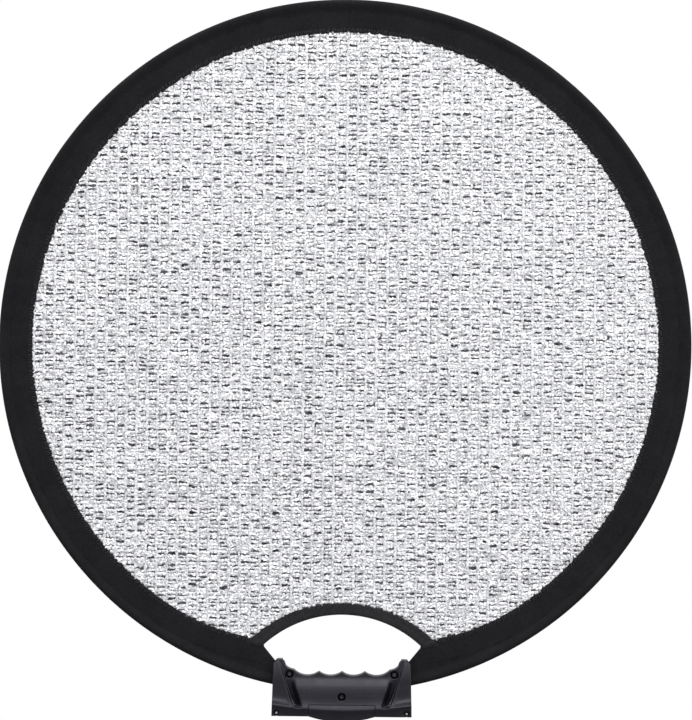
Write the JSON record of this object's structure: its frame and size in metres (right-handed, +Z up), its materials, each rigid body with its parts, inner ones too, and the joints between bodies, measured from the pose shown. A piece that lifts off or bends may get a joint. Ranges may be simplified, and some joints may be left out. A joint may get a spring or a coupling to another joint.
{
  "type": "collapsible reflector disc",
  "caption": "Round fold-up light reflector: knitted silver mesh on a sprung steel hoop in a black cloth rim, with a finger-grooved handle and an arched hand opening.",
  "frame": {"origin": "middle of the mouth of the threaded stand socket, under the handle", "axes": "+Z up through the middle of the disc, -Y the way the disc's front faces, +X to the right as seen from the front"},
  "size_m": [0.6, 0.03, 0.629],
  "materials": {
    "black_cloth": "woven black nylon with a dull sheen",
    "silver_mesh": "warp knit of crinkled metallised silver tape",
    "handle_plastic": "satin black moulded plastic",
    "spring_steel": "blued spring steel",
    "black_screw": "black zinc",
    "nickel_screw": "bright nickel",
    "socket_brass": "turned brass"
  },
  "bodies": {
    "centre": {"handle_front_shell": "handle_plastic", "handle_rear_shell": "handle_plastic", "palm_block": "handle_plastic", "stand_socket_insert": "socket_brass", "handle_screws": "black_screw", "corner_screws": "nickel_screw", "hoop_end_left": "spring_steel", "hoop_end_right": "spring_steel", "hoop_splice_plate": "spring_steel", "hoop_splice_rivets": "nickel_screw", "hoop_top_band": "spring_steel", "mesh_centre": "silver_mesh", "rim_binding_top": "black_cloth", "rim_binding_lower_left": "black_cloth", "rim_binding_lower_right": "black_cloth", "hand_opening_tape": "black_cloth"},
    "left_lobe": {"hoop_left_band": "spring_steel", "mesh_left": "silver_mesh", "rim_binding_left": "black_cloth"},
    "right_lobe": {"hoop_right_band": "spring_steel", "mesh_right": "silver_mesh", "rim_binding_right": "black_cloth"}
  },
  "joints": [
    {"name": "left_fold", "type": "hinge", "parent": "centre", "child": "left_lobe", "pos_m": [-0.1, -0.008, 0.329], "axis": [0, 0, 1], "range_deg": [0, 180], "stiffness_Nm_per_rad": 0.5},
    {"name": "right_fold", "type": "hinge", "parent": "centre", "child": "right_lobe", "pos_m": [0.1, 0.008, 0.329], "axis": [0, 0, 1], "range_deg": [0, 180], "stiffness_Nm_per_rad": 0.5}
  ],
  "couplings": [
    {"joint": "right_fold", "follows": "left_fold", "ratio": 1}
  ]
}
